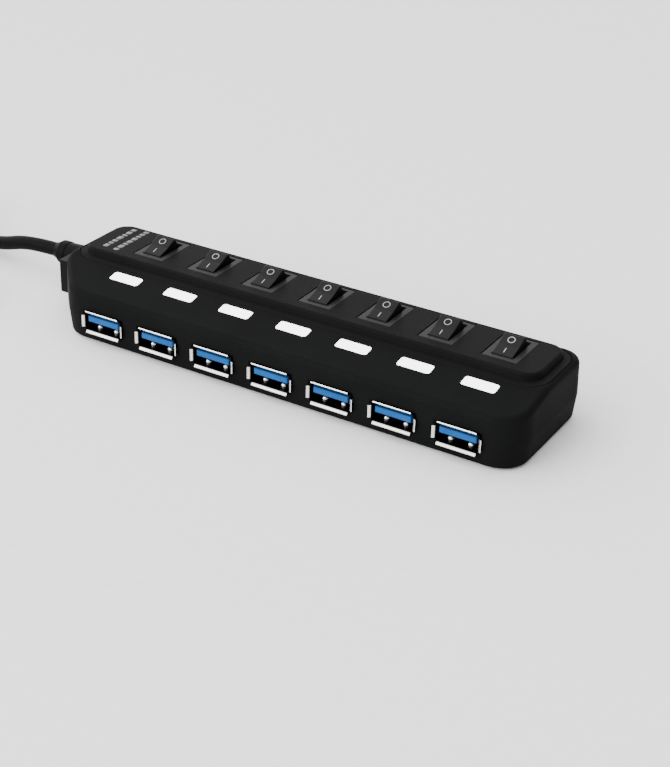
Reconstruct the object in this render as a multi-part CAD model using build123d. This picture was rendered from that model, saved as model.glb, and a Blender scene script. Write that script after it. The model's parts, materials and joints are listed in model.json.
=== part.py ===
from build123d import *
import math
import os

# Seven-port USB 3.0 hub with a rocker switch for each port.
# Millimetres. X runs along the bar, the ports face -Y, +Z is up.
# The origin is under the middle of the hub, on the surface it stands on.

os.makedirs("parts", exist_ok=True)

# ---------------------------------------------------------------- casing
PORTS = 7
PITCH = 19.5
BODY_LENGTH = 160.0
BODY_DEPTH = 42.85
JACK_PROUD = 4.0                # how far the power jack's collar stands out of the left end
SHELL_PROUD = 0.35              # how far the socket shells stand out of the front face
LIP_PROUD = 1.0                 # and their lips
RIGHT = (BODY_LENGTH + JACK_PROUD) / 2
LEFT = RIGHT - BODY_LENGTH
FRONT = -(BODY_DEPTH - LIP_PROUD) / 2
BACK = FRONT + BODY_DEPTH
LAST_PORT_FROM_END = 17.5
BASE_Z = 0.5                    # underside of the casing; the feet stand on z = 0
PARTING_Z = 8.0
CREASE_Z = 15.55                # where the upright front face turns into the sloped one
LEDGE_Z = 18.9
DECK_Z = 20.8
SLOPE = 10.7                    # degrees, of the face with the light windows
FRONT_RIGHT_RADIUS = 9.1
BACK_RIGHT_RADIUS = 6.6
BACK_LEFT_RADIUS = 7.7
CHAMFER_X = 13.0                # the cut corner at the cable end
CHAMFER_Y = 14.65
CHAMFER_FRONT_RADIUS = 10.0
CHAMFER_END_RADIUS = 9.0
UPPER_DRAFT = 1.9
LOWER_DRAFT = 6.2
EDGE_ROUND = 1.8
RIDGE_ROUND = 8.0
WALL = 2.4
FLOOR = 1.6
CEILING = 2.0
BIG = 400.0

# ------------------------------------------------------------- top panel
DECK_FRONT = FRONT + 17.55
DECK_BACK = FRONT + 39.7
DECK_LEFT = LEFT + 3.1
DECK_RIGHT = RIGHT - 3.9
DECK_CORNER = 5.4
DECK_DRAFT = 16.0
RIM_FRONT = 2.3                 # flat rim of the panel round the raised deck
RIM_RIGHT = 2.1
RIM_BACK = 0.9
RIM_LEFT = 1.2
RIM_CORNER = 6.6
SEAM_ROUND = 0.35               # on both sides of the seam round the panel
DECK_ROUND = 0.9
PANEL_FLANGE = 1.0
PANEL_GAP = 0.18
PANEL_SEAT = 1.2                # width of the ledge in the cover that the panel rests on
DECK_SKIN = 2.0

# -------------------------------------------------------------- switches
SWITCH_Y = FRONT + 29.85        # the rockers' pivots
BEZEL_X, BEZEL_Y, BEZEL_T = 10.5, 14.6, 0.8
BEZEL_SHIFT = -0.3              # the bezel is wider in front of the rocker than behind it
BEZEL_TIGHT = 0.05              # gap round the bezel in its pocket, in front and on the right
BEZEL_LOOSE = 0.35              # and behind it and on the left
SWITCH_BODY_X, SWITCH_BODY_Y, SWITCH_BODY_H = 8.2, 13.2, 9.0
SWITCH_OPEN_X, SWITCH_OPEN_Y = 6.8, 11.7
PANEL_CUT_PLAY = 0.1
ROCKER_X = 6.3
ROCKER_HALF = 4.0
ROCKER_BELLY = 4.6              # half length of the cap below its top
ROCKER_VALLEY = 5.02            # height of the valley in the cap over the pivot
ROCKER_FACET = 4.0              # degrees, of each half of the cap
ROCKER_TILT = 21.0              # degrees, to each side
PIVOT_Z = DECK_Z - 3.2
TRUNNION_R = 0.9
TRUNNION_PLAY = 0.05
TRUNNION_REACH = 0.55

# --------------------------------------------------------------- sockets
SOCKET_Z = 7.1
SHELL_FRONT = FRONT - SHELL_PROUD
SHELL_HALF_X, SHELL_HALF_Z = 6.57, 2.86
SHELL_T = 0.32
SHELL_DEPTH = 16.5
LIP_OUT = 0.45
LIP_T = 0.24
LIP_HALF_LONG = 5.8
LIP_HALF_SHORT = 1.85
BUMP_R = 1.05
TONGUE_X, TONGUE_T = 11.1, 1.84
TONGUE_Z = 7.85
TONGUE_BACK = 0.3               # from the shell's mouth
CONTACTS = (-3.5, -1.0, 1.0, 3.5)
POCKET_DEPTH = 0.3

# ----------------------------------------------------------- electronics
PCB_TOP = SOCKET_Z - SHELL_HALF_Z
PCB_T = 1.6
PCB_INSET = 3.3
SCREW_CORNERS = (
    (RIGHT - 5.5, FRONT + 6.2),
    (RIGHT - 5.5, FRONT + 36.5),
    (LEFT + 18.0, FRONT + 36.5),
    (LEFT + 12.3, FRONT + 8.0),
)
BOSS_R = 2.6
BOSS_TOP = LEDGE_Z - 3.2
SCREW_R = 1.0
HEAD_R, HEAD_H = 2.1, 1.2
PAD_R = 3.4
PAD_TOP = BASE_Z + 2.9
FOOT_R, FOOT_SET = 3.6, 0.6
FEET = (
    (LEFT + 24.0, FRONT + 8.0),
    (LEFT + 24.0, BACK - 8.0),
    (RIGHT - 14.0, FRONT + 8.0),
    (RIGHT - 14.0, BACK - 8.0),
)

# -------------------------------------------------------- windows, jack
WINDOW_X, WINDOW_Y, WINDOW_R = 10.2, 3.95, 0.85
WINDOW_FROM_FRONT = 11.55
JACK_Y0, JACK_Y1 = FRONT + 16.15, FRONT + 25.65
JACK_Z0, JACK_Z1 = PCB_TOP, PCB_TOP + 10.6
JACK_AXIS_Z = JACK_Z0 + 5.4
JACK_BORE_R = 3.15
JACK_PIN_R = 1.0
JACK_DEPTH = 13.5

# ------------------------------------------------------------------ cord
CORD_R = 2.25
CORD_Y = FRONT + 31.65
CORD_Z = 9.0
BOOT_TIP_X = LEFT - 17.5
NOSE_X = BOOT_TIP_X + 2.0
BOOT_BASE_R, BOOT_TIP_R, NOSE_TIP_R = 4.1, 3.4, 2.5
RING_R, RING_LONG = 3.75, 3.0
COIL_X, COIL_Y, COIL_R = -165.0, 2.0, 22.5
BUNDLE_R = 3.3                  # from the middle of the bundle to the cord's centreline
TIE_T = 0.5
COIL_Z = BUNDLE_R + CORD_R + TIE_T
COIL_ENTRY = 66.0              # degrees round the coil from +X, where the cord joins it
PLUG_X, PLUG_Y, PLUG_Z = -147.0, COIL_Y - 25.2, 4.4


def block(x0, x1, y0, y1, z0, z1):
    """A box between two corners."""
    middle = ((x0 + x1) / 2, (y0 + y1) / 2, (z0 + z1) / 2)
    return Pos(*middle) * Box(x1 - x0, y1 - y0, z1 - z0)


def rod(x, y, z0, z1, radius):
    """An upright cylinder."""
    return Pos(x, y, (z0 + z1) / 2) * Cylinder(radius, z1 - z0)


def lying(axis, start, end, radius, end_radius=None):
    """A cylinder or a cone along X or Y, from start to end."""
    length = math.dist(start, end)
    middle = [(a + b) / 2 for a, b in zip(start, end)]
    turn = Rot(0, 90, 0) if axis == "x" else Rot(-90, 0, 0)
    if end_radius is None:
        return Pos(*middle) * turn * Cylinder(radius, length)
    return Pos(*middle) * turn * Cone(radius, end_radius, length)


def side_profile(points, x0, x1):
    """A prism along X from an outline given as (y, z) points."""
    outline = Polyline(*[(x0, y, z) for y, z in points], close=True)
    return extrude(make_face(outline), amount=x1 - x0, dir=(1, 0, 0))


def save(solid, name):
    export_step(solid, f"parts/{name}.step")


def port_x(index):
    return RIGHT - LAST_PORT_FROM_END - (PORTS - 1 - index) * PITCH


def plan(z, inset=0.0):
    """The casing's outline seen from above, at one height."""
    corners = [
        (LEFT + CHAMFER_X, FRONT, z),
        (RIGHT, FRONT, z),
        (RIGHT, BACK, z),
        (LEFT, BACK, z),
        (LEFT, FRONT + CHAMFER_Y, z),
    ]
    radii = [
        CHAMFER_FRONT_RADIUS, FRONT_RIGHT_RADIUS, BACK_RIGHT_RADIUS, BACK_LEFT_RADIUS,
        CHAMFER_END_RADIUS,
    ]
    face = make_face(FilletPolyline(*corners, radius=radii, close=True))
    return offset(face, amount=-inset) if inset else face


def rounded_plan(x0, x1, y0, y1, radius, z, grow):
    """A rounded rectangle between two corners, grown by an amount."""
    outline = RectangleRounded(x1 - x0 + 2 * grow, y1 - y0 + 2 * grow, radius + grow)
    return Pos((x0 + x1) / 2, (y0 + y1) / 2, z) * outline


def deck_plan(z, grow=0.0):
    """The raised deck's outline at its foot."""
    return rounded_plan(DECK_LEFT, DECK_RIGHT, DECK_FRONT, DECK_BACK, DECK_CORNER, z, grow)


def rim_plan(z, grow=0.0):
    """The panel's outer edge."""
    x0, x1 = DECK_LEFT - RIM_LEFT, DECK_RIGHT + RIM_RIGHT
    y0, y1 = DECK_FRONT - RIM_FRONT, DECK_BACK + RIM_BACK
    return rounded_plan(x0, x1, y0, y1, RIM_CORNER, z, grow)


def roof(drop, bottom):
    """Everything under the casing's top surface, lowered by an amount."""
    slope_run = (LEDGE_Z - CREASE_Z) / math.tan(math.radians(SLOPE))
    reach = 20.0
    low = CREASE_Z - reach * math.tan(math.radians(SLOPE))
    points = [
        (FRONT - reach, bottom),
        (FRONT - reach, low - drop),
        (FRONT + slope_run, LEDGE_Z - drop),
        (BACK + reach, LEDGE_Z - drop),
        (BACK + reach, bottom),
    ]
    return side_profile(points, -BIG / 2, BIG / 2)


def port_cut():
    """The seven openings in the front wall, each with a shallow pocket for the lips."""
    cuts = []
    for index in range(PORTS):
        x = port_x(index)
        cuts.append(
            block(
                x - SHELL_HALF_X - 0.1, x + SHELL_HALF_X + 0.1,
                FRONT - 1, FRONT + WALL + 1.5,
                SOCKET_Z - SHELL_HALF_Z - 0.1, SOCKET_Z + SHELL_HALF_Z + 0.1,
            )
        )
        pocket_x = SHELL_HALF_X + LIP_OUT + 0.3
        pocket_z = SHELL_HALF_Z + LIP_OUT + 0.2
        cuts.append(
            block(
                x - pocket_x, x + pocket_x,
                FRONT - 1, FRONT + POCKET_DEPTH,
                SOCKET_Z - pocket_z, SOCKET_Z + pocket_z,
            )
        )
    return cuts


def jack_cut():
    play = 0.1
    return block(
        LEFT - 5, LEFT + WALL + 2,
        JACK_Y0 - play, JACK_Y1 + play, JACK_Z0 - play, JACK_Z1 + play,
    )


def boot_cut():
    return lying("x", (LEFT - 5, CORD_Y, CORD_Z), (LEFT + WALL + 2, CORD_Y, CORD_Z), 3.45)


def lower_shell():
    outer = extrude(plan(PARTING_Z), amount=PARTING_Z - BASE_Z, dir=(0, 0, -1), taper=LOWER_DRAFT)
    bottom_edges = outer.faces().sort_by(Axis.Z)[0].edges()
    outer = fillet(bottom_edges, 1.0)
    pocket = extrude(plan(BASE_Z + FLOOR, WALL + 0.3), amount=PARTING_Z)
    shell = outer - pocket
    lip = extrude(plan(PARTING_Z - 1.0, 1.3), amount=2.0) - extrude(
        plan(PARTING_Z - 1.5, WALL), amount=4.0
    )
    shell += lip
    for x, y in SCREW_CORNERS:
        shell += rod(x, y, BASE_Z + 0.5, PAD_TOP, PAD_R) & extrude(
            plan(BASE_Z, WALL), amount=PARTING_Z
        )
    rib_top = PCB_TOP - PCB_T
    for x in (-50.0, -10.0, 30.0, 64.0):
        shell += block(x - 0.8, x + 0.8, FRONT + 20, FRONT + 36, BASE_Z + FLOOR - 0.2, rib_top)
    for x, y in SCREW_CORNERS:
        shell -= rod(x, y, BASE_Z - 1, PAD_TOP + 1, SCREW_R + 0.2)
        shell -= rod(x, y, BASE_Z - 1, BASE_Z + 1.5, HEAD_R + 0.2)
    for x, y in FEET:
        shell -= rod(x, y, BASE_Z - 1, BASE_Z + FOOT_SET, FOOT_R + 0.1)
    for cut in port_cut():
        shell -= cut
    return shell - jack_cut() - boot_cut()


def casing_top():
    """The outer form of the cover and the panel's rim, without the raised deck."""
    walls = extrude(plan(PARTING_Z), amount=DECK_Z - PARTING_Z, taper=UPPER_DRAFT)
    return walls & roof(0.0, PARTING_Z - 1)


def window_plane(x, drop=0.0):
    """A plane on the sloped face under one light window."""
    tilt = math.radians(SLOPE)
    z = CREASE_Z + WINDOW_FROM_FRONT * math.tan(tilt)
    up = (0, -math.sin(tilt), math.cos(tilt))
    at = Vector(x, FRONT + WINDOW_FROM_FRONT, z) - Vector(*up) * drop
    return Plane(origin=at, x_dir=(1, 0, 0), z_dir=up)


def upper_cover():
    outer = casing_top()
    ridge_y = FRONT + (LEDGE_Z - CREASE_Z) / math.tan(math.radians(SLOPE))
    ridge = [e for e in outer.edges() if abs(e.center().Y - ridge_y) < 0.5 and e.length > BODY_LENGTH / 2]
    outer = fillet(ridge, RIDGE_ROUND)
    rim = [e for e in outer.edges() if min((e @ 0).Z, (e @ 1).Z) > CREASE_Z - 0.5]
    rim = [e for e in rim if e.length < BODY_LENGTH / 2 or abs(e.center().Y - ridge_y) > 3]
    outer = fillet(rim, EDGE_ROUND)
    inner = extrude(plan(PARTING_Z - 1, WALL), amount=BIG / 4) & roof(CEILING, PARTING_Z - 2)
    cover = outer - inner
    cover -= extrude(plan(PARTING_Z - 0.5, 1.25), amount=1.5 + 0.05) - extrude(
        plan(PARTING_Z - 1.5, WALL + 1), amount=4.0
    )
    for x, y in SCREW_CORNERS:
        near = FRONT if y < 0 else BACK
        column = rod(x, y, PARTING_Z + 1.2, BOSS_TOP, BOSS_R)
        column += block(
            x - 0.9, x + 0.9, min(y, near), max(y, near), PARTING_Z + 1.2, BOSS_TOP
        )
        cover += column & extrude(plan(BASE_Z, WALL - 0.4), amount=BIG / 8)
        foot = rod(x, y, PAD_TOP + 0.05, PARTING_Z + 1.3, BOSS_R)
        cover += foot & extrude(plan(BASE_Z, WALL + 0.4), amount=BIG / 8)
    cover -= extrude(rim_plan(BOSS_TOP + 0.2, -PANEL_SEAT), amount=BIG / 8)
    seat = extrude(rim_plan(PARTING_Z, PANEL_GAP), amount=BIG / 8)
    cover -= seat - roof(PANEL_FLANGE, PARTING_Z - 2)
    for x, y in SCREW_CORNERS:
        cover -= rod(x, y, PAD_TOP - 1, PAD_TOP + 7, SCREW_R)
    for index in range(PORTS):
        window = window_plane(port_x(index)) * RectangleRounded(WINDOW_X, WINDOW_Y, WINDOW_R)
        cover -= extrude(window, amount=5, both=True)
    for cut in port_cut():
        cover -= cut
    return cover - jack_cut() - boot_cut()


def bezel_block(x, shift, grow, z0, z1):
    """The switch bezel's outline as a block, moved along Y and grown by an amount."""
    y = SWITCH_Y + BEZEL_SHIFT + shift
    half_x, half_y = BEZEL_X / 2 + grow, BEZEL_Y / 2 + grow
    return block(x - half_x, x + half_x, y - half_y, y + half_y, z0, z1)


def on_top_of_rim(edge):
    """True for an edge round the top of the panel's rim, before the deck stands on it."""
    middle = edge.center()
    if abs(middle.Z - LEDGE_Z) < 0.01 and edge.length < BODY_LENGTH - 2:
        return True
    slope_z = CREASE_Z + (middle.Y - FRONT) * math.tan(math.radians(SLOPE))
    return abs(middle.Z - slope_z) < 0.05


def top_panel():
    rim = extrude(rim_plan(PARTING_Z), amount=BIG / 8)
    rim = (rim & roof(0.0, PARTING_Z)) - roof(PANEL_FLANGE, PARTING_Z - 1)
    deck_height = DECK_Z - (LEDGE_Z - PANEL_FLANGE)
    deck = extrude(deck_plan(LEDGE_Z - PANEL_FLANGE), amount=deck_height, taper=DECK_DRAFT)
    deck = fillet(deck.faces().sort_by(Axis.Z)[-1].edges(), DECK_ROUND)
    outer_edge = [e for e in rim.edges() if on_top_of_rim(e)]
    panel = fillet(outer_edge, SEAM_ROUND) + deck
    hollow = extrude(deck_plan(PARTING_Z, -2.2), amount=DECK_Z - DECK_SKIN - PARTING_Z)
    panel -= hollow
    for index in range(PORTS):
        x = port_x(index)
        half_x = SWITCH_BODY_X / 2 + PANEL_CUT_PLAY
        half_y = SWITCH_BODY_Y / 2 + PANEL_CUT_PLAY
        panel -= block(x - half_x, x + half_x, SWITCH_Y - half_y, SWITCH_Y + half_y, 0, 40)
        loose, tight = (BEZEL_LOOSE - BEZEL_TIGHT) / 2, (BEZEL_LOOSE + BEZEL_TIGHT) / 2
        panel -= bezel_block(x - loose, loose, tight, DECK_Z - BEZEL_T, DECK_Z + 5)
    return panel


def switch_frame(x):
    bezel_z = DECK_Z - BEZEL_T
    bezel = bezel_block(x, 0.0, 0.0, bezel_z, DECK_Z)
    bezel = fillet(bezel.faces().sort_by(Axis.Z)[-1].edges(), 0.15)
    body_z = DECK_Z - SWITCH_BODY_H
    body = block(
        x - SWITCH_BODY_X / 2, x + SWITCH_BODY_X / 2,
        SWITCH_Y - SWITCH_BODY_Y / 2, SWITCH_Y + SWITCH_BODY_Y / 2, body_z, bezel_z,
    )
    frame = bezel + body
    frame -= block(
        x - SWITCH_OPEN_X / 2, x + SWITCH_OPEN_X / 2,
        SWITCH_Y - SWITCH_OPEN_Y / 2, SWITCH_Y + SWITCH_OPEN_Y / 2, body_z + 1.0, DECK_Z + 5,
    )
    hole = lying(
        "x", (x - BEZEL_X, SWITCH_Y, PIVOT_Z), (x + BEZEL_X, SWITCH_Y, PIVOT_Z),
        TRUNNION_R + TRUNNION_PLAY,
    )
    return frame - hole


def at_rest(solid):
    """Tip a rocker built level, so that its front end is pressed down."""
    axis = Axis((0, SWITCH_Y, PIVOT_Z), (1, 0, 0))
    return solid.rotate(axis, ROCKER_TILT)


def rocker(x):
    rise = ROCKER_HALF * math.tan(math.radians(ROCKER_FACET))
    outline = [
        (-ROCKER_HALF, ROCKER_VALLEY + rise),
        (0.0, ROCKER_VALLEY),
        (ROCKER_HALF, ROCKER_VALLEY + rise),
        (ROCKER_BELLY, 3.2),
        (ROCKER_BELLY, 2.0),
        (2.4, -0.8),
        (1.5, -1.9),
        (-1.5, -1.9),
        (-2.4, -0.8),
        (-ROCKER_BELLY, 2.0),
        (-ROCKER_BELLY, 3.2),
    ]
    points = [(SWITCH_Y + y, PIVOT_Z + z) for y, z in outline]
    cap = side_profile(points, x - ROCKER_X / 2, x + ROCKER_X / 2)
    upper_edges = [e for e in cap.edges() if e.center().Z > PIVOT_Z + ROCKER_VALLEY + 0.05]
    cap = fillet(upper_edges, 0.25)
    reach = ROCKER_X / 2 + TRUNNION_REACH
    pins = lying(
        "x", (x - reach, SWITCH_Y, PIVOT_Z), (x + reach, SWITCH_Y, PIVOT_Z), TRUNNION_R
    )
    slot = block(
        x - 1.3, x + 1.3, SWITCH_Y - 0.4, SWITCH_Y + 0.4, PIVOT_Z - 3, PIVOT_Z - 1.2
    )
    return at_rest(cap + pins - slot)


def rocker_contact(x):
    """The sprung blade in the rocker's foot that bridges the terminals."""
    blade = block(
        x - 1.3, x + 1.3, SWITCH_Y - 0.4, SWITCH_Y + 0.4, PIVOT_Z - 3.4, PIVOT_Z - 1.2
    )
    wiper = lying(
        "x", (x - 1.3, SWITCH_Y, PIVOT_Z - 3.4), (x + 1.3, SWITCH_Y, PIVOT_Z - 3.4), 0.5
    )
    return at_rest(blade + wiper)


def switch_terminals():
    pieces = []
    body_z = DECK_Z - SWITCH_BODY_H
    for index in range(PORTS):
        x = port_x(index)
        for y in (SWITCH_Y - 3.6, SWITCH_Y + 3.6):
            leg = block(x - 0.4, x + 0.4, y - 1.4, y + 1.4, PCB_TOP, body_z)
            pieces.append(leg)
    return Compound(pieces)


def socket_shell(x):
    tube = block(
        x - SHELL_HALF_X, x + SHELL_HALF_X, SHELL_FRONT, SHELL_FRONT + SHELL_DEPTH,
        SOCKET_Z - SHELL_HALF_Z, SOCKET_Z + SHELL_HALF_Z,
    )
    inner_x, inner_z = SHELL_HALF_X - SHELL_T, SHELL_HALF_Z - SHELL_T
    tube -= block(
        x - inner_x, x + inner_x, SHELL_FRONT - 1, SHELL_FRONT + SHELL_DEPTH - SHELL_T,
        SOCKET_Z - inner_z, SOCKET_Z + inner_z,
    )
    # Each lip is a strip bent outwards, seen in section as (outwards, backwards).
    out, proud = LIP_OUT, SHELL_PROUD - LIP_PROUD
    lip = [(-SHELL_T, 0.3), (0.0, 0.3), (out + LIP_T, proud + 0.1), (out, proud), (-SHELL_T, 0.0)]
    for side in (1, -1):
        upright = [(SHELL_FRONT + b, SOCKET_Z + side * (SHELL_HALF_Z + a)) for a, b in lip]
        tube += side_profile(upright, x - LIP_HALF_LONG, x + LIP_HALF_LONG)
        level = [(x + side * (SHELL_HALF_X + a), SHELL_FRONT + b) for a, b in lip]
        base = Polyline(*[(px, py, SOCKET_Z - LIP_HALF_SHORT) for px, py in level], close=True)
        tube += extrude(make_face(base), amount=2 * LIP_HALF_SHORT, dir=(0, 0, 1))
    return tube


def socket_tongue(x):
    blade = block(
        x - TONGUE_X / 2, x + TONGUE_X / 2, SHELL_FRONT + TONGUE_BACK, SHELL_FRONT + 12.5,
        TONGUE_Z - TONGUE_T / 2, TONGUE_Z + TONGUE_T / 2,
    )
    blade = chamfer(blade.faces().sort_by(Axis.Y)[0].edges(), 0.2)
    inner_x, inner_z = SHELL_HALF_X - SHELL_T, SHELL_HALF_Z - SHELL_T
    root = block(
        x - inner_x, x + inner_x, SHELL_FRONT + 12.3, SHELL_FRONT + SHELL_DEPTH - SHELL_T,
        SOCKET_Z - inner_z, SOCKET_Z + inner_z,
    )
    tongue = blade + root
    for slot_x in CONTACTS:
        tongue -= block(
            x + slot_x - 0.5, x + slot_x + 0.5, SHELL_FRONT + 2.2, SHELL_FRONT + 11.5,
            0, TONGUE_Z - TONGUE_T / 2 + 0.3,
        )
    return tongue


def socket_contacts():
    """Four sprung strips under each tongue, and the two bumps that press on a plug."""
    pieces = []
    floor_z = SOCKET_Z - SHELL_HALF_Z + SHELL_T
    low = TONGUE_Z - TONGUE_T / 2
    for index in range(PORTS):
        for slot_x in CONTACTS:
            x = port_x(index) + slot_x
            y0, y1 = SHELL_FRONT + 2.4, SHELL_FRONT + 11.3
            pieces.append(block(x - 0.4, x + 0.4, y0, y1, low - 0.15, low + 0.3))
        for side in (1, -1):
            bump = Sphere(BUMP_R) & block(-2, 2, -2, 2, -0.15, 2)
            pieces.append(Pos(port_x(index) + side * 3.05, SHELL_FRONT + 3.0, floor_z + 0.15) * bump)
    return Compound(pieces)


def light_guide():
    """One white moulding: a bar under the sloped face with a raised window for each port."""
    bar_x0, bar_x1 = port_x(0) - 6.5, port_x(PORTS - 1) + 6.5
    middle = (bar_x0 + bar_x1) / 2
    bar = window_plane(middle, CEILING * 0.985 + 0.6) * Box(bar_x1 - bar_x0, 6.0, 1.0)
    for index in range(PORTS):
        lens = RectangleRounded(WINDOW_X - 0.12, WINDOW_Y - 0.12, WINDOW_R - 0.06)
        lug = extrude(window_plane(port_x(index), 2.3) * lens, amount=2.3 - 0.05)
        bar += lug
    return bar


def circuit_board():
    board = extrude(plan(PCB_TOP - PCB_T, PCB_INSET), amount=PCB_T)
    for x, y in SCREW_CORNERS:
        board -= rod(x, y, 0, 10, PAD_R + 0.5)
    board -= block(LEFT - 5, LEFT + 7.5, CORD_Y - 6.5, CORD_Y + 6.5, 0, 10)
    return board


def status_leds():
    pieces = []
    for index in range(PORTS):
        x = port_x(index)
        z = CREASE_Z - 3.2
        y = FRONT + WINDOW_FROM_FRONT
        pieces.append(block(x - 1.6, x + 1.6, y - 0.8, y + 0.8, z, z + 1.2))
    return Compound(pieces)


def led_carrier():
    """The narrow board on the socket shells that holds the status LEDs."""
    top = CREASE_Z - 3.2
    strip = block(
        port_x(0) - 6, port_x(PORTS - 1) + 6,
        FRONT + 8.5, FRONT + 15.0, top - 1.0, top,
    )
    for index in range(PORTS):
        x = port_x(index)
        strip += block(
            x - 1.5, x + 1.5, FRONT + 9, FRONT + 14,
            SOCKET_Z + SHELL_HALF_Z, top - 0.8,
        )
    return strip


def hub_chips():
    pieces = []
    for x in (-38.0, 22.0):
        y = FRONT + 21.0
        pieces.append(block(x - 3.5, x + 3.5, y - 3.0, y + 3.0, PCB_TOP, PCB_TOP + 1.0))
    return Compound(pieces)


def capacitors():
    pieces = [rod(x, FRONT + 36.5, PCB_TOP, PCB_TOP + 6.0, 2.5) for x in (-42, -22, 16, 36, 56)]
    return Compound(pieces)


def jack_housing():
    collar = block(LEFT - JACK_PROUD, LEFT + 1.5, JACK_Y0, JACK_Y1, JACK_Z0, JACK_Z1)
    edges = collar.faces().sort_by(Axis.X)[0].edges()
    collar = fillet(edges, 0.5)
    body = block(
        LEFT + 1.0, LEFT - JACK_PROUD + JACK_DEPTH + 2, JACK_Y0 + 0.3, JACK_Y1 - 0.3,
        JACK_Z0, JACK_Z1 - 0.6,
    )
    mouth = (LEFT - JACK_PROUD - 1, (JACK_Y0 + JACK_Y1) / 2, JACK_AXIS_Z)
    inside = (LEFT - JACK_PROUD + JACK_DEPTH - 2.5, (JACK_Y0 + JACK_Y1) / 2, JACK_AXIS_Z)
    return collar + body - lying("x", mouth, inside, JACK_BORE_R)


def jack_pin():
    start = (LEFT - JACK_PROUD + 2.0, (JACK_Y0 + JACK_Y1) / 2, JACK_AXIS_Z)
    end = (LEFT - JACK_PROUD + JACK_DEPTH - 2.5, (JACK_Y0 + JACK_Y1) / 2, JACK_AXIS_Z)
    pin = lying("x", start, end, JACK_PIN_R)
    return fillet(pin.faces().sort_by(Axis.X)[0].edges(), 0.5)


def case_screws():
    pieces = []
    for x, y in SCREW_CORNERS:
        head_z = BASE_Z + 0.3
        screw = rod(x, y, head_z, head_z + HEAD_H, HEAD_R)
        screw += rod(x, y, head_z + HEAD_H, head_z + 8.5, SCREW_R)
        for turn in (0, 90):
            slot = Pos(x, y, head_z) * Rot(0, 0, turn) * Box(2.4, 0.5, 1.2)
            screw -= slot
        pieces.append(screw)
    return Compound(pieces)


def rubber_feet():
    pieces = []
    for x, y in FEET:
        foot = rod(x, y, 0.0, BASE_Z + FOOT_SET, FOOT_R)
        foot = fillet(foot.faces().sort_by(Axis.Z)[0].edges(), 0.3)
        pieces.append(foot)
    return Compound(pieces)


def cable_header():
    """The connector on the board that the cord's cores plug into."""
    x0 = LEFT + 8.2
    return block(x0, x0 + 6.0, CORD_Y - 5.0, CORD_Y + 4.0, PCB_TOP, CORD_Z + 2.4)


def cable_cores():
    return lying("x", (LEFT + WALL + 2.35, CORD_Y, CORD_Z), (LEFT + 8.2, CORD_Y, CORD_Z), 1.9)


def strain_relief():
    inner_x = LEFT + WALL + 0.35
    flange = lying("x", (inner_x + 2.0, CORD_Y, CORD_Z), (inner_x, CORD_Y, CORD_Z), 5.0)
    neck = lying("x", (inner_x, CORD_Y, CORD_Z), (LEFT, CORD_Y, CORD_Z), 3.4)
    boot = lying("x", (LEFT, CORD_Y, CORD_Z), (NOSE_X, CORD_Y, CORD_Z), BOOT_TIP_R, BOOT_BASE_R)
    ring = lying("x", (NOSE_X + RING_LONG, CORD_Y, CORD_Z), (NOSE_X, CORD_Y, CORD_Z), RING_R)
    ring = fillet(ring.edges().filter_by(GeomType.CIRCLE), 0.4)
    nose = lying("x", (NOSE_X, CORD_Y, CORD_Z), (BOOT_TIP_X, CORD_Y, CORD_Z), NOSE_TIP_R, BOOT_TIP_R)
    return flange + neck + boot + ring + nose


def exit_route():
    """From the strain relief's tip down to the surface and into the coil."""
    angle = math.radians(COIL_ENTRY)
    entry_r = COIL_R + BUNDLE_R * math.cos(math.radians(45))
    entry_x = COIL_X + entry_r * math.cos(angle)
    entry_y = COIL_Y + entry_r * math.sin(angle)
    entry_z = COIL_Z - BUNDLE_R * math.sin(math.radians(45))
    return [
        (BOOT_TIP_X, CORD_Y, CORD_Z),
        (-107.5, CORD_Y, CORD_Z),
        (-119.5, 11.2, 4.9),
        (-131.5, 14.2, 3.0),
        (-143.0, 19.0, 3.1),
        (entry_x, entry_y, entry_z),
    ]


def tail_route():
    """From the top of the coil to the plug."""
    exit_y = COIL_Y - COIL_R - BUNDLE_R
    return [
        (COIL_X, exit_y, COIL_Z),
        (-158.0, exit_y + 0.4, 5.6),
        (-152.5, PLUG_Y, PLUG_Z),
        (PLUG_X, PLUG_Y, PLUG_Z),
    ]


def cord_tube(route, name):
    """A tube on straight runs joined by tangent arcs."""
    points = [Vector(*p) for p in route]
    runs = [b - a for a, b in zip(points, points[1:])]
    radii = []
    for before, after in zip(runs, runs[1:]):
        half_turn = math.radians(before.get_angle(after) / 2)
        radii.append(0.45 * min(before.length, after.length) / math.tan(half_turn))
    path = FilletPolyline(*points, radius=radii)
    tube = sweep(Plane(origin=points[0], z_dir=runs[0]) * Circle(CORD_R), path=path)
    expected = math.pi * CORD_R**2 * path.length
    print(name, "radii", [round(r, 1) for r in radii], "length", round(path.length, 1))
    print(name, "volume over section times length", round(tube.volume / expected, 4))
    return tube


def cord_coil():
    return Pos(COIL_X, COIL_Y, COIL_Z) * Torus(COIL_R, BUNDLE_R + CORD_R)


def cord_tie():
    """A band round the bundle of turns, on the side away from the hub."""
    band = Circle(BUNDLE_R + CORD_R + TIE_T) - Circle(BUNDLE_R + CORD_R)
    half_angle = 9
    turned = Plane.XZ * Pos(COIL_R, 0) * band
    ring = revolve(turned, Axis.Z, revolution_arc=2 * half_angle)
    return Pos(COIL_X, COIL_Y, COIL_Z) * Rot(0, 0, 180 - half_angle) * ring


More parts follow.
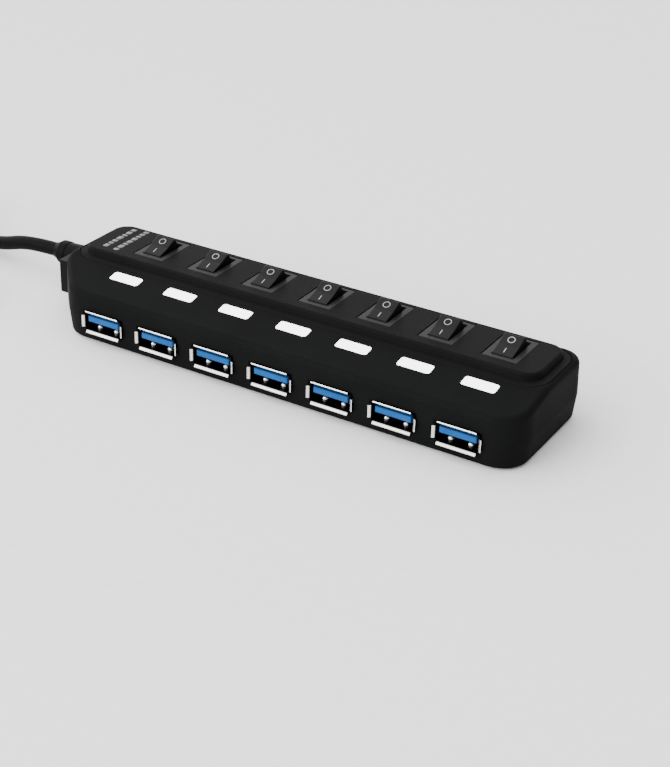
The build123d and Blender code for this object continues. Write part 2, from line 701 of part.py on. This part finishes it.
def plug_overmould():
    relief = Plane(origin=(PLUG_X, PLUG_Y, PLUG_Z), z_dir=(1, 0, 0)) * Pos(0, 0, 5) * Cone(2.6, 3.6, 10)
    body_x = PLUG_X + 10
    body = block(body_x, body_x + 23, PLUG_Y - 7.6, PLUG_Y + 7.6, PLUG_Z - 4.2, PLUG_Z + 4.2)
    body = fillet(body.edges().filter_by(Axis.X), 2.0)
    body = fillet(body.faces().sort_by(Axis.X)[0].edges(), 1.5)
    body -= block(body_x + 20, body_x + 24, PLUG_Y - 6.0, PLUG_Y + 6.0, PLUG_Z - 2.25, PLUG_Z + 2.25)
    return relief + body


def plug_shell():
    x0 = PLUG_X + 33
    shell = block(x0 - 3, x0 + 12, PLUG_Y - 6.0, PLUG_Y + 6.0, PLUG_Z - 2.25, PLUG_Z + 2.25)
    shell = fillet(shell.edges().filter_by(Axis.X), 0.5)
    shell -= block(x0 - 4, x0 + 13, PLUG_Y - 5.7, PLUG_Y + 5.7, PLUG_Z - 1.95, PLUG_Z + 1.95)
    for side in (-1, 1):
        hole_y = PLUG_Y + side * 2.6
        shell -= block(x0 + 5, x0 + 7.5, hole_y - 1.1, hole_y + 1.1, PLUG_Z + 1, PLUG_Z + 4)
        shell -= block(x0 + 5, x0 + 7.5, hole_y - 1.1, hole_y + 1.1, PLUG_Z - 4, PLUG_Z - 1)
    return shell


def plug_tongue():
    x0 = PLUG_X + 33
    tongue = block(x0 - 3, x0 + 11.7, PLUG_Y - 5.65, PLUG_Y + 5.65, PLUG_Z - 1.9, PLUG_Z + 0.05)
    root = block(x0 - 3, x0 - 0.2, PLUG_Y - 5.65, PLUG_Y + 5.65, PLUG_Z - 1.9, PLUG_Z + 1.9)
    return tongue + root


save(lower_shell(), "lower_shell")
save(upper_cover(), "upper_cover")
save(top_panel(), "top_panel")
save(light_guide(), "light_guide")
for number in range(PORTS):
    centre_x = port_x(number)
    save(switch_frame(centre_x), f"switch_frame_{number + 1}")
    save(rocker(centre_x), f"rocker_{number + 1}")
    save(rocker_contact(centre_x), f"rocker_contact_{number + 1}")
    save(socket_shell(centre_x), f"socket_shell_{number + 1}")
    save(socket_tongue(centre_x), f"socket_tongue_{number + 1}")
save(switch_terminals(), "switch_terminals")
save(socket_contacts(), "socket_contacts")
save(circuit_board(), "circuit_board")
save(led_carrier(), "led_carrier")
save(status_leds(), "status_leds")
save(hub_chips(), "hub_chips")
save(capacitors(), "capacitors")
save(jack_housing(), "jack_housing")
save(jack_pin(), "jack_pin")
save(case_screws(), "case_screws")
save(rubber_feet(), "rubber_feet")
save(cable_header(), "cable_header")
save(cable_cores(), "cable_cores")
save(strain_relief(), "strain_relief")
save(cord_tube(exit_route(), "cord"), "cord")
save(cord_coil(), "cord_coil")
save(cord_tube(tail_route(), "cord_tail"), "cord_tail")
save(cord_tie(), "cord_tie")
save(plug_overmould(), "plug_overmould")
save(plug_shell(), "plug_shell")
save(plug_tongue(), "plug_tongue")
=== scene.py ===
import json
import math

import bmesh
import bpy
from mathutils import Matrix, Vector


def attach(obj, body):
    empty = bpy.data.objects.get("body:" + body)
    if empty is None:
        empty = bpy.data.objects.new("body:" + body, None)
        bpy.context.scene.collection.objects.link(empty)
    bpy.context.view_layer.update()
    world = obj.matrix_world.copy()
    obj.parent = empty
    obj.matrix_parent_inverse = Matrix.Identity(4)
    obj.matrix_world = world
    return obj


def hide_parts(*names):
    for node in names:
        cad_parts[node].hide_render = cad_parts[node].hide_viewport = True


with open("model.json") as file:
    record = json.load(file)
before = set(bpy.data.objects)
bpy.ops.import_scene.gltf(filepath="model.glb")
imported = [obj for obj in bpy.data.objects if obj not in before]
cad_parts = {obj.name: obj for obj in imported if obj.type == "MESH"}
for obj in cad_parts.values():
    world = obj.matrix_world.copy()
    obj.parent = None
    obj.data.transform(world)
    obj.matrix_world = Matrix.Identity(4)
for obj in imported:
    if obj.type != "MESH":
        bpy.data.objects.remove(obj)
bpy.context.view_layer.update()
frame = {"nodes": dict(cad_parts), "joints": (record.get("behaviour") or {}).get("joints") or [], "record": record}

MM = 0.001
PORTS = 7
HUB = "hub"


# ------------------------------------------------------------ camera
YAW = math.radians(30.313)
PITCH = math.radians(28.454)
ROLL = math.radians(1.750)
CAMERA_AT = Vector((0.22493, -0.35972, 0.22448))
LENS = 77.36
SENSOR = 36.0


def add_camera():
    """The camera, in front of the right end and above it."""
    forward = Vector((
        -math.sin(YAW) * math.cos(PITCH),
        math.cos(YAW) * math.cos(PITCH),
        -math.sin(PITCH),
    ))
    level = Vector((math.cos(YAW), math.sin(YAW), 0.0))
    upward = level.cross(forward)
    right = math.cos(ROLL) * level + math.sin(ROLL) * upward
    up = math.cos(ROLL) * upward - math.sin(ROLL) * level
    data = bpy.data.cameras.new("camera")
    data.lens = LENS
    data.sensor_width = SENSOR
    data.sensor_fit = "AUTO"
    data.clip_start = 0.01
    data.clip_end = 20.0
    camera = bpy.data.objects.new("camera", data)
    turn = Matrix((right, up, -forward)).transposed().to_4x4()
    camera.matrix_world = Matrix.Translation(CAMERA_AT) @ turn
    bpy.context.collection.objects.link(camera)
    bpy.context.scene.camera = camera


add_camera()


# ------------------------------------------------------------ materials
def node_tree(name):
    """A new material, its node tree and shader, and the place on the object."""
    material = bpy.data.materials.new(name)
    material.use_nodes = True
    tree = material.node_tree
    shader = next(n for n in tree.nodes if n.type == "BSDF_PRINCIPLED")
    place = tree.nodes.new("ShaderNodeTexCoord")
    return material, tree, shader, place.outputs["Object"]


def noise(tree, place, scale, detail=3.0, stretch=None):
    """Noise with a pattern about 1/scale of a metre across."""
    node = tree.nodes.new("ShaderNodeTexNoise")
    node.inputs["Scale"].default_value = scale
    node.inputs["Detail"].default_value = detail
    if stretch:
        mapping = tree.nodes.new("ShaderNodeMapping")
        mapping.inputs["Scale"].default_value = stretch
        tree.links.new(place, mapping.inputs["Vector"])
        place = mapping.outputs["Vector"]
    tree.links.new(place, node.inputs["Vector"])
    return node.outputs["Fac"]


def ramp(tree, factor, low, high):
    """Two colours mixed by a factor that is stretched over its middle half."""
    node = tree.nodes.new("ShaderNodeValToRGB")
    first, last = node.color_ramp.elements
    first.position, last.position = 0.3, 0.7
    first.color = (*low, 1.0)
    last.color = (*high, 1.0)
    tree.links.new(factor, node.inputs["Fac"])
    return node.outputs["Color"]


def spread(tree, factor, low, high):
    """A factor turned into a number between low and high."""
    node = tree.nodes.new("ShaderNodeMapRange")
    node.inputs["From Min"].default_value = 0.3
    node.inputs["From Max"].default_value = 0.7
    node.inputs["To Min"].default_value = low
    node.inputs["To Max"].default_value = high
    tree.links.new(factor, node.inputs["Value"])
    return node.outputs["Result"]


def bump(tree, shader, heights):
    """Bumps laid over each other: (height output, depth in mm, strength)."""
    last = None
    for height, depth, strength in heights:
        node = tree.nodes.new("ShaderNodeBump")
        node.inputs["Distance"].default_value = depth * MM
        node.inputs["Strength"].default_value = strength
        tree.links.new(height, node.inputs["Height"])
        if last:
            tree.links.new(last, node.inputs["Normal"])
        last = node.outputs["Normal"]
    tree.links.new(last, shader.inputs["Normal"])


def shaded(colour, factor):
    return tuple(min(1.0, c * factor) for c in colour)


def paint_shade(tree, colour, factor, start, stop):
    """Painted shade: the colour where the factor is below start, and nearly black where it is past stop."""
    amount = tree.nodes.new("ShaderNodeMapRange")
    amount.inputs["From Min"].default_value = start
    amount.inputs["From Max"].default_value = stop
    tree.links.new(factor, amount.inputs["Value"])
    both = tree.nodes.new("ShaderNodeMix")
    both.data_type = "RGBA"
    both.inputs["B"].default_value = PAINTED_SHADE_BLACK
    tree.links.new(amount.outputs["Result"], both.inputs["Factor"])
    tree.links.new(colour, both.inputs["A"])
    return both.outputs["Result"]


def sideways(tree):
    """How far the surface faces along X, either way: the mask of the rockers' painted side shade."""
    place = next(n for n in tree.nodes if n.type == "TEX_COORD")
    axes = tree.nodes.new("ShaderNodeSeparateXYZ")
    tree.links.new(place.outputs["Normal"], axes.inputs["Vector"])
    size = tree.nodes.new("ShaderNodeMath")
    size.operation = "ABSOLUTE"
    tree.links.new(axes.outputs["X"], size.inputs[0])
    return size.outputs["Value"]


def along_y(tree, place):
    """Where the surface is along Y."""
    axes = tree.nodes.new("ShaderNodeSeparateXYZ")
    tree.links.new(place, axes.inputs["Vector"])
    return axes.outputs["Y"]


def plastic(
    name, colour, rough, grain=2600.0, depth=0.012, vary=0.12, specular=0.5, painted_side_shade=False
):
    """Moulded plastic: a fine spark-eroded grain, faint flow marks and a varying sheen. Optionally painted shade,
    nearly black, on faces turned along X.
    """
    material, tree, shader, place = node_tree(name)
    flow = noise(tree, place, 55.0, 4.0)
    fine = noise(tree, place, grain, 2.0)
    surface = ramp(tree, flow, shaded(colour, 1 - vary), shaded(colour, 1 + vary))
    # painted shade: faces turned along X, the rockers' sides, go nearly black
    if painted_side_shade:
        surface = paint_shade(tree, surface, sideways(tree), 0.5, 0.7)
    tree.links.new(surface, shader.inputs["Base Color"])
    tree.links.new(spread(tree, fine, rough - 0.05, rough + 0.05), shader.inputs["Roughness"])
    shader.inputs["Specular IOR Level"].default_value = specular
    bump(tree, shader, [(fine, depth, 0.6), (flow, 0.02, 0.25)])
    return material


def metal(name, colour, rough, stretch=(1, 1, 1), depth=0.004, painted_shade_behind=None):
    """Plated or rolled metal with fine drawing lines and faint stains, and optionally painted shade, nearly black,
    behind a given Y.
    """
    material, tree, shader, place = node_tree(name)
    stain = noise(tree, place, 240.0, 3.0)
    line = noise(tree, place, 3000.0, 2.0, stretch)
    surface = ramp(tree, stain, shaded(colour, 0.86), colour)
    # painted shade: nearly black behind the given Y
    if painted_shade_behind is not None:
        y = along_y(tree, place)
        surface = paint_shade(tree, surface, y, painted_shade_behind, painted_shade_behind + EDGE_WIDTH)
    tree.links.new(surface, shader.inputs["Base Color"])
    tree.links.new(spread(tree, line, rough * 0.75, rough * 1.3), shader.inputs["Roughness"])
    shader.inputs["Metallic"].default_value = 1.0
    bump(tree, shader, [(line, depth, 0.5)])
    return material


def painted_glow_window(name):
    """Milky diffuser with a painted glow, its tone varying in soft clouds."""
    material, tree, shader, place = node_tree(name)
    cloud = noise(tree, place, 420.0, 3.0)
    tree.links.new(
        ramp(tree, cloud, (0.90, 0.91, 0.93), (0.97, 0.97, 0.98)), shader.inputs["Base Color"]
    )
    tree.links.new(
        ramp(tree, cloud, (0.93, 0.95, 1.0), (1.0, 1.0, 1.0)), shader.inputs["Emission Color"]
    )
    # painted glow: emission that keeps the diffuser near-white
    shader.inputs["Emission Strength"].default_value = 3.6
    tree.links.new(spread(tree, cloud, 0.28, 0.36), shader.inputs["Roughness"])
    bump(tree, shader, [(cloud, 0.01, 0.3)])
    return material


def woven(name, colour):
    """Hook-and-loop tape: fine crossing ribs with a soft nap."""
    material, tree, shader, place = node_tree(name)
    nap = noise(tree, place, 1500.0, 4.0)
    wave = tree.nodes.new("ShaderNodeTexWave")
    wave.inputs["Scale"].default_value = 900.0
    wave.inputs["Distortion"].default_value = 1.5
    tree.links.new(place, wave.inputs["Vector"])
    tree.links.new(
        ramp(tree, nap, shaded(colour, 0.6), shaded(colour, 1.5)), shader.inputs["Base Color"]
    )
    tree.links.new(spread(tree, nap, 0.8, 0.95), shader.inputs["Roughness"])
    shader.inputs["Sheen Weight"].default_value = 0.12
    bump(tree, shader, [(wave.outputs["Fac"], 0.06, 0.7), (nap, 0.08, 0.6)])
    return material


def port_insert(name, colour, rough):
    """The tongue's blue moulding, with painted shade turning it nearly black at its root, deep in the socket."""
    material, tree, shader, place = node_tree(name)
    flow = noise(tree, place, 120.0, 3.0)
    fine = noise(tree, place, 2600.0, 2.0)
    surface = ramp(tree, flow, shaded(colour, 0.9), shaded(colour, 1.1))
    # painted shade: nearly black behind the tongue's root
    y = along_y(tree, place)
    surface = paint_shade(
        tree, surface, y, TONGUE_ROOT_Y - EDGE_WIDTH, TONGUE_ROOT_Y + EDGE_WIDTH
    )
    tree.links.new(surface, shader.inputs["Base Color"])
    tree.links.new(spread(tree, fine, rough - 0.05, rough + 0.05), shader.inputs["Roughness"])
    shader.inputs["Specular IOR Level"].default_value = 0.2
    bump(tree, shader, [(fine, 0.004, 0.6)])
    return material


def circuit(name):
    """Green lacquered board with faint copper tracks."""
    material, tree, shader, place = node_tree(name)
    cells = tree.nodes.new("ShaderNodeTexVoronoi")
    cells.distance = "MANHATTAN"
    cells.inputs["Scale"].default_value = 420.0
    tree.links.new(place, cells.inputs["Vector"])
    tree.links.new(
        ramp(tree, cells.outputs["Distance"], (0.02, 0.16, 0.06), (0.01, 0.09, 0.035)),
        shader.inputs["Base Color"],
    )
    tree.links.new(spread(tree, cells.outputs["Distance"], 0.25, 0.4), shader.inputs["Roughness"])
    bump(tree, shader, [(cells.outputs["Distance"], 0.02, 0.4)])
    return material


TONGUE_ROOT_Y = -0.0091         # behind this the tongue is painted in shade, nearly black
MOUTH_Y = -0.0216               # behind this the sockets' shells are painted in shade, nearly black
EDGE_WIDTH = 0.0002             # over which the painted shade fades in
# the colour of the painted shade
PAINTED_SHADE_BLACK = (0.003, 0.003, 0.0035, 1.0)
BLACK = (0.0058, 0.0060, 0.0060)
finishes = {
    "casing_black": plastic("casing_black", BLACK, 0.55, depth=0.010, specular=0.013),
    "panel_black": plastic(
        "panel_black", (0.0056, 0.0058, 0.0055), 0.55, grain=2200.0, depth=0.016, specular=0.02
    ),
    "window_white": painted_glow_window("window_white"),
    "switch_black": plastic(
        "switch_black", (0.015, 0.015, 0.015), 0.42, depth=0.006, specular=0.06
    ),
    # painted shade on the rockers' sides
    "rocker_black": plastic(
        "rocker_black", (0.0105, 0.0105, 0.0108), 0.40, depth=0.005, specular=0.06, painted_side_shade=True
    ),
    "contact_brass": metal("contact_brass", (0.80, 0.60, 0.30), 0.25),
    # painted shade inside the sockets' shells, behind their mouths
    "socket_steel": metal(
        "socket_steel", (0.95, 0.93, 0.89), 0.28, stretch=(1, 0.2, 1), painted_shade_behind=MOUTH_Y
    ),
    "plug_steel": metal("plug_steel", (0.86, 0.85, 0.82), 0.24, stretch=(1, 0.2, 1)),
    "port_blue": port_insert("port_blue", (0.003, 0.072, 0.25), 0.45),
    "board_green": circuit("board_green"),
    "led_white": painted_glow_window("led_white"),
    "chip_black": plastic("chip_black", (0.02, 0.02, 0.02), 0.6, depth=0.01),
    "capacitor_can": metal("capacitor_can", (0.75, 0.75, 0.77), 0.3),
    "jack_black": plastic("jack_black", (0.006, 0.006, 0.006), 0.42, depth=0.006, specular=0.04),
    "pin_nickel": metal("pin_nickel", (0.82, 0.81, 0.78), 0.15),
    "screw_black": metal("screw_black", (0.10, 0.10, 0.105), 0.35),
    "foot_rubber": plastic(
        "foot_rubber", (0.006, 0.006, 0.006), 0.8, grain=1500.0, depth=0.03, specular=0.1
    ),
    "header_ivory": plastic("header_ivory", (0.72, 0.68, 0.56), 0.45),
    "core_sheath": plastic("core_sheath", (0.012, 0.012, 0.012), 0.5),
    "cord_black": plastic(
        "cord_black", (0.0046, 0.0046, 0.0047), 0.5, grain=1800.0, depth=0.010, specular=0.03
    ),
    "tie_black": woven("tie_black", (0.012, 0.012, 0.0125)),
    "plug_black": plastic(
        "plug_black", (0.0044, 0.0044, 0.0046), 0.48, depth=0.008, specular=0.035
    ),
}
print_white = plastic("print_white", (0.34, 0.35, 0.35), 0.55, depth=0.004, vary=0.10)
print_grey = plastic("print_grey", (0.125, 0.13, 0.13), 0.55, depth=0.004, vary=0.10)

for subpart in frame["record"]["subparts"]:
    node = frame["nodes"][subpart["node"]]
    node.data.materials.clear()
    node.data.materials.append(finishes[subpart["material_slot"]])


# ------------------------------------------------------------ building helpers
def add_mesh(name, bm, material, body=HUB):
    """A new piece on a body, from a mesh under construction."""
    mesh = bpy.data.meshes.new(name)
    bmesh.ops.recalc_face_normals(bm, faces=bm.faces)
    bm.to_mesh(mesh)
    bm.free()
    for polygon in mesh.polygons:
        polygon.use_smooth = True
    piece = bpy.data.objects.new(name, mesh)
    bpy.context.collection.objects.link(piece)
    piece.data.materials.append(material)
    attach(piece, body)
    return piece


def slab(bm, outline, place, thickness, hole=None):
    """A thin closed print: an outline of (x, y), raised off a surface. place maps (x, y, z)."""
    rings = [outline] if hole is None else [outline, hole]
    levels = []
    for z in (0.0, thickness):
        levels.append([[bm.verts.new(place(x, y, z)) for x, y in ring] for ring in rings])
    count = len(outline)
    for ring in range(len(rings)):
        low, high = levels[0][ring], levels[1][ring]
        for i in range(count):
            j = (i + 1) % count
            bm.faces.new((low[i], low[j], high[j], high[i]))
    for level in levels:
        if hole is None:
            bm.faces.new(level[0])
        else:
            for i in range(count):
                j = (i + 1) % count
                bm.faces.new((level[0][i], level[0][j], level[1][j], level[1][i]))


def oval(rx, ry, count=48, power=2.0):
    """An ellipse, or with a higher power a rounded rectangle, as (x, y) points."""
    points = []
    for i in range(count):
        angle = 2 * math.pi * i / count
        c, s = math.cos(angle), math.sin(angle)
        points.append((
            rx * math.copysign(abs(c) ** (2 / power), c),
            ry * math.copysign(abs(s) ** (2 / power), s),
        ))
    return points


# ------------------------------------------------------------ cord
CORD_D = 4.5
CORD_Y = 10.725
CORD_Z = 9.0
BOOT_TIP_X = -95.5
COIL_X, COIL_Y, COIL_R = -165.0, 2.0, 22.5
COIL_ENTRY = 66.0
BUNDLE_R = 3.3
COIL_Z = BUNDLE_R + CORD_D / 2 + 0.5
COIL_EXIT = 270.0
COIL_TURNS = 3 + (COIL_EXIT - COIL_ENTRY) / 360.0
BUNDLE_START, BUNDLE_TWIST = -45.0, -90.0       # degrees round the bundle, at first and a turn
POINTS_PER_TURN = 24
PLUG_X, PLUG_Y, PLUG_Z = -147.0, COIL_Y - 25.2, 4.4


def coil_point(turn):
    """A point on the cord's centreline, a number of turns into the coil."""
    where = math.radians(COIL_ENTRY + 360.0 * turn)
    bundle = math.radians(BUNDLE_START + BUNDLE_TWIST * turn)
    radius = COIL_R + BUNDLE_R * math.cos(bundle)
    return (
        COIL_X + radius * math.cos(where),
        COIL_Y + radius * math.sin(where),
        COIL_Z + BUNDLE_R * math.sin(bundle),
    )


def cord_points():
    """The cord's whole route, from the strain relief to the plug, in mm."""
    exit_run = [
        (BOOT_TIP_X, CORD_Y, CORD_Z),
        (-107.5, CORD_Y, CORD_Z),
        (-119.5, 11.2, 4.9),
        (-131.5, 14.2, 3.0),
        (-143.0, 19.0, 3.1),
    ]
    count = round(COIL_TURNS * POINTS_PER_TURN)
    coil = [coil_point(COIL_TURNS * i / count) for i in range(count + 1)]
    tail = [
        (-158.0, COIL_Y - COIL_R - BUNDLE_R + 0.4, 5.6),
        (-152.5, PLUG_Y, PLUG_Z),
        (PLUG_X, PLUG_Y, PLUG_Z),
    ]
    return exit_run + coil + tail


def spline_length(curve):
    """The length of a curve object's own line."""
    curve.data.bevel_depth = 0.0
    line = bpy.data.meshes.new_from_object(curve)
    curve.data.bevel_depth = 1.0
    ends = [line.vertices[i].co.copy() for i in range(len(line.vertices))]
    bpy.data.meshes.remove(line)
    return sum((b - a).length for a, b in zip(ends, ends[1:]))


def add_cord():
    """The host lead, one smooth cord in place of its three CAD solids."""
    data = bpy.data.curves.new("host_cord", "CURVE")
    data.dimensions = "3D"
    data.resolution_u = 6
    # A curve's box counts its points' radii, so those carry the cord's size and the bevel is 1.
    data.bevel_depth = 1.0
    data.bevel_resolution = 5
    data.use_fill_caps = True
    points = cord_points()
    spline = data.splines.new("NURBS")
    spline.points.add(len(points) - 1)
    for point, at in zip(spline.points, points):
        point.co = (*[v * MM for v in at], 1.0)
        point.radius = CORD_D / 2 * MM
    spline.order_u = 3
    spline.use_endpoint_u = True
    cord = bpy.data.objects.new("host_cord", data)
    bpy.context.collection.objects.link(cord)
    data.materials.append(finishes["cord_black"])
    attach(cord, HUB)
    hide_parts("cord", "cord_coil", "cord_tail")
    length = spline_length(cord)
    print("cord length", round(length, 4))
    return cord


add_cord()


# ------------------------------------------------------------ marks on the rockers
ROCKER_TILT = math.radians(21.0)
ROCKER_FACET = math.radians(4.0)
ROCKER_VALLEY = 5.02
RING_AT, RING_R, RING_HOLE = 2.1, 1.11, 0.89      # mm along the back half of the cap
BAR_AT, BAR_HALF_LENGTH, BAR_HALF_WIDTH = -2.09, 0.95, 0.12
MARK_X = -0.1
PRINT_T = 0.03
joints = {joint["name"]: joint for joint in frame["joints"]}


def rocker_place(number, along):
    """Maps (x, y, z) round a point on one half of a rocker's cap to the row frame."""
    pivot = Vector(joints[f"rocker_{number}_tilt"]["pos_m"]) / MM
    tilt = Matrix.Rotation(ROCKER_TILT, 4, "X")
    half = Matrix.Rotation(math.copysign(ROCKER_FACET, along), 4, "X")

    def place(x, y, z):
        on_face = half @ Vector((x + MARK_X, along + y, z))
        return (pivot + tilt @ (on_face + Vector((0, 0, ROCKER_VALLEY)))) * MM

    return place


for number in range(1, PORTS + 1):
    bm = bmesh.new()
    ring, hole = oval(RING_R, RING_R), oval(RING_HOLE, RING_HOLE)
    slab(bm, ring, rocker_place(number, RING_AT), PRINT_T, hole)
    add_mesh(f"rocker_ring_{number}", bm, print_white, f"rocker_{number}")
    bm = bmesh.new()
    bar = oval(BAR_HALF_WIDTH, BAR_HALF_LENGTH, 32, 6.0)
    slab(bm, bar, rocker_place(number, BAR_AT), PRINT_T)
    add_mesh(f"rocker_bar_{number}", bm, print_white, f"rocker_{number}")


# ------------------------------------------------------------ marks on the deck
DECK_Z = 20.8
DASH_ROWS = (                   # x, the first dash's near end, and the dashes' lengths
    (-68.1, 0.5, (2.0, 1.2, 1.6, 2.4, 1.2, 2.0, 1.6)),
    (-63.9, 0.1, (1.4, 2.2, 1.1, 1.9, 1.9, 1.1, 1.5, 1.4)),
)
DASH_GAP = 0.55
DASH_HALF_WIDTH = 0.85


def add_dashes():
    """Two rows of plain dashes printed near the end of the deck."""
    bm = bmesh.new()
    for x, start, lengths in DASH_ROWS:
        y = start
        for length in lengths:
            middle = (x, y + length / 2)

            def place(dx, dy, dz, middle=middle):
                return Vector((middle[0] + dx, middle[1] + dy, DECK_Z + dz)) * MM

            slab(bm, oval(DASH_HALF_WIDTH, length / 2, 32, 6.0), place, PRINT_T)
            y += length + DASH_GAP
    add_mesh("deck_dashes", bm, print_grey)


add_dashes()


# ------------------------------------------------------------ stage
def add_floor():
    """A pale paper floor, which isn't part of the object."""
    bm = bmesh.new()
    bmesh.ops.create_grid(bm, x_segments=8, y_segments=8, size=3.0)
    mesh = bpy.data.meshes.new("floor")
    bm.to_mesh(mesh)
    bm.free()
    floor = bpy.data.objects.new("floor", mesh)
    bpy.context.collection.objects.link(floor)
    material, tree, shader, place = node_tree("floor_paper")
    grain = noise(tree, place, 300.0, 3.0)
    paper = ramp(tree, grain, (0.92, 0.92, 0.92), (0.95, 0.95, 0.95))
    tree.links.new(paper, shader.inputs["Base Color"])
    shader.inputs["Roughness"].default_value = 0.9
    shader.inputs["Specular IOR Level"].default_value = 0.1
    mesh.materials.append(material)


def add_light(name, at, target, size, power):
    """A soft rectangular light at a point, aimed at another."""
    data = bpy.data.lights.new(name, "AREA")
    data.shape = "RECTANGLE"
    data.size, data.size_y = size
    data.energy = power
    light = bpy.data.objects.new(name, data)
    aim = (Vector(target) - Vector(at)).to_track_quat("-Z", "Y")
    light.matrix_world = Matrix.Translation(at) @ aim.to_matrix().to_4x4()
    bpy.context.collection.objects.link(light)
    return light


def add_world(left, right):
    """A white room, brighter on its left side than on its right."""
    world = bpy.data.worlds.new("studio")
    world.use_nodes = True
    tree = world.node_tree
    background = next(n for n in tree.nodes if n.type == "BACKGROUND")
    background.inputs["Color"].default_value = (1.0, 1.0, 1.0, 1.0)
    toward = tree.nodes.new("ShaderNodeTexCoord")
    axes = tree.nodes.new("ShaderNodeSeparateXYZ")
    tree.links.new(toward.outputs["Generated"], axes.inputs["Vector"])
    strength = tree.nodes.new("ShaderNodeMapRange")
    strength.inputs["From Min"].default_value = -1.0
    strength.inputs["From Max"].default_value = 1.0
    strength.inputs["To Min"].default_value = left
    strength.inputs["To Max"].default_value = right
    tree.links.new(axes.outputs["X"], strength.inputs["Value"])
    tree.links.new(strength.outputs["Result"], background.inputs["Strength"])
    bpy.context.scene.world = world


add_floor()
add_world(3.7, 0.3)
add_light("key", (-0.25, -0.35, 1.0), (0.0, 0.0, 0.0), (0.9, 0.6), 1.5)
add_light("front", (-0.4, -0.9, 0.45), (0.0, 0.0, 0.0), (0.8, 0.4), 7.0)

bpy.context.view_layer.update()
